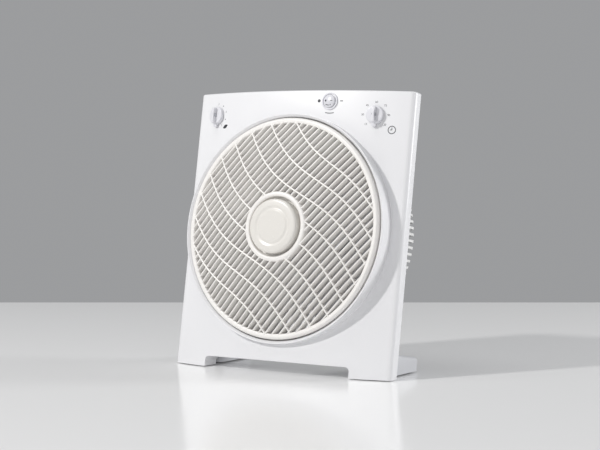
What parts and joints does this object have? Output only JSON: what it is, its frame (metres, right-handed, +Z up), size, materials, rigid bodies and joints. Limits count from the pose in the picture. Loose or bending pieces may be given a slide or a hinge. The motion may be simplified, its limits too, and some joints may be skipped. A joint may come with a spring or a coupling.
{
  "type": "box fan",
  "caption": "Upright 30 cm box fan with a bowed front casing, a round rotating louvre, a rear guard cage and swivelling rear feet.",
  "frame": {"origin": "centre of the fan's bounding box, on the surface it stands on", "axes": "+Z up, -Y towards the front, where the air leaves, +X to the right of someone facing the front"},
  "size_m": [0.3714, 0.185, 0.4076],
  "materials": {
    "casing_abs": "moulded white, fine satin",
    "housing_abs": "moulded white, light spark texture",
    "guard_pp": "moulded white",
    "louvre_abs": "moulded warm white, satin",
    "cap_abs": "moulded off-white, satin",
    "blade_pp": "moulded pale grey, smooth",
    "knob_abs": "moulded pale grey, smooth",
    "foot_abs": "moulded light grey, satin",
    "rubber": "matt moulded rubber",
    "screw_steel": "zinc-plated",
    "zinc_steel": "pressed, galvanised",
    "core_steel": "stacked electrical sheet",
    "copper": "enamelled copper wire",
    "bronze": "sintered, oiled",
    "black_nylon": "moulded nylon",
    "clear_nylon": "natural nylon"
  },
  "bodies": {
    "casing": {"front_casing": "casing_abs", "rear_housing": "housing_abs", "rear_guard": "guard_pp", "carry_handle": "housing_abs", "louvre_spider": "louvre_abs", "louvre_motor": "zinc_steel", "drive_screws": "screw_steel", "motor_front_shell": "zinc_steel", "motor_rear_shell": "zinc_steel", "stator_core": "core_steel", "stator_windings": "copper", "shaft_bearings": "bronze", "motor_spacers": "zinc_steel", "speed_switch": "black_nylon", "timer_unit": "black_nylon", "rocker_bezel": "knob_abs", "rocker_switch": "black_nylon", "motor_capacitor": "black_nylon", "terminal_block": "clear_nylon", "cord_gland": "black_nylon", "leg_pads": "rubber", "casing_screws": "screw_steel", "guard_screws": "screw_steel", "motor_screws": "screw_steel", "handle_screws": "screw_steel"},
    "impeller": {"impeller": "blade_pp", "impeller_nut": "knob_abs", "motor_shaft": "screw_steel", "rotor": "core_steel"},
    "louvre": {"louvre_grille": "louvre_abs", "hub_cap": "cap_abs", "louvre_shaft": "screw_steel"},
    "speed_knob": {"speed_knob": "knob_abs", "speed_spindle": "screw_steel"},
    "timer_knob": {"timer_knob": "knob_abs", "timer_spindle": "screw_steel"},
    "rotation_rocker": {"rotation_rocker": "knob_abs"},
    "left_foot": {"left_foot": "foot_abs", "left_foot_pad": "rubber", "left_foot_screw": "screw_steel"},
    "right_foot": {"right_foot": "foot_abs", "right_foot_pad": "rubber", "right_foot_screw": "screw_steel"}
  },
  "joints": [
    {"name": "impeller_spin", "type": "hinge", "parent": "casing", "child": "impeller", "pos_m": [0, -0.02752, 0.20272], "axis": [0, -0.9854, 0.1702], "continuous": true},
    {"name": "louvre_spin", "type": "hinge", "parent": "casing", "child": "louvre", "pos_m": [0, -0.02752, 0.20272], "axis": [0, -0.9854, 0.1702], "continuous": true},
    {"name": "speed_turn", "type": "hinge", "parent": "casing", "child": "speed_knob", "pos_m": [-0.147, -0.01306, 0.37173], "axis": [-0.182, -0.969, 0.1674], "range_deg": [0, 182]},
    {"name": "timer_turn", "type": "hinge", "parent": "casing", "child": "timer_knob", "pos_m": [0.13, -0.01614, 0.37125], "axis": [-0.1609, 0.9726, -0.168], "range_deg": [0, 315]},
    {"name": "rocker_tip", "type": "hinge", "parent": "casing", "child": "rotation_rocker", "pos_m": [0.05683, -0.01894, 0.39101], "axis": [0, 0.1702, 0.9854], "range_deg": [0, 12]},
    {"name": "left_foot_swivel", "type": "hinge", "parent": "casing", "child": "left_foot", "pos_m": [-0.1465, -0.02244, 0.03238], "axis": [0, -0.1702, -0.9854], "range_deg": [0, 90]},
    {"name": "right_foot_swivel", "type": "hinge", "parent": "casing", "child": "right_foot", "pos_m": [0.1465, -0.02244, 0.03238], "axis": [0, 0.1702, 0.9854], "range_deg": [0, 90]}
  ]
}
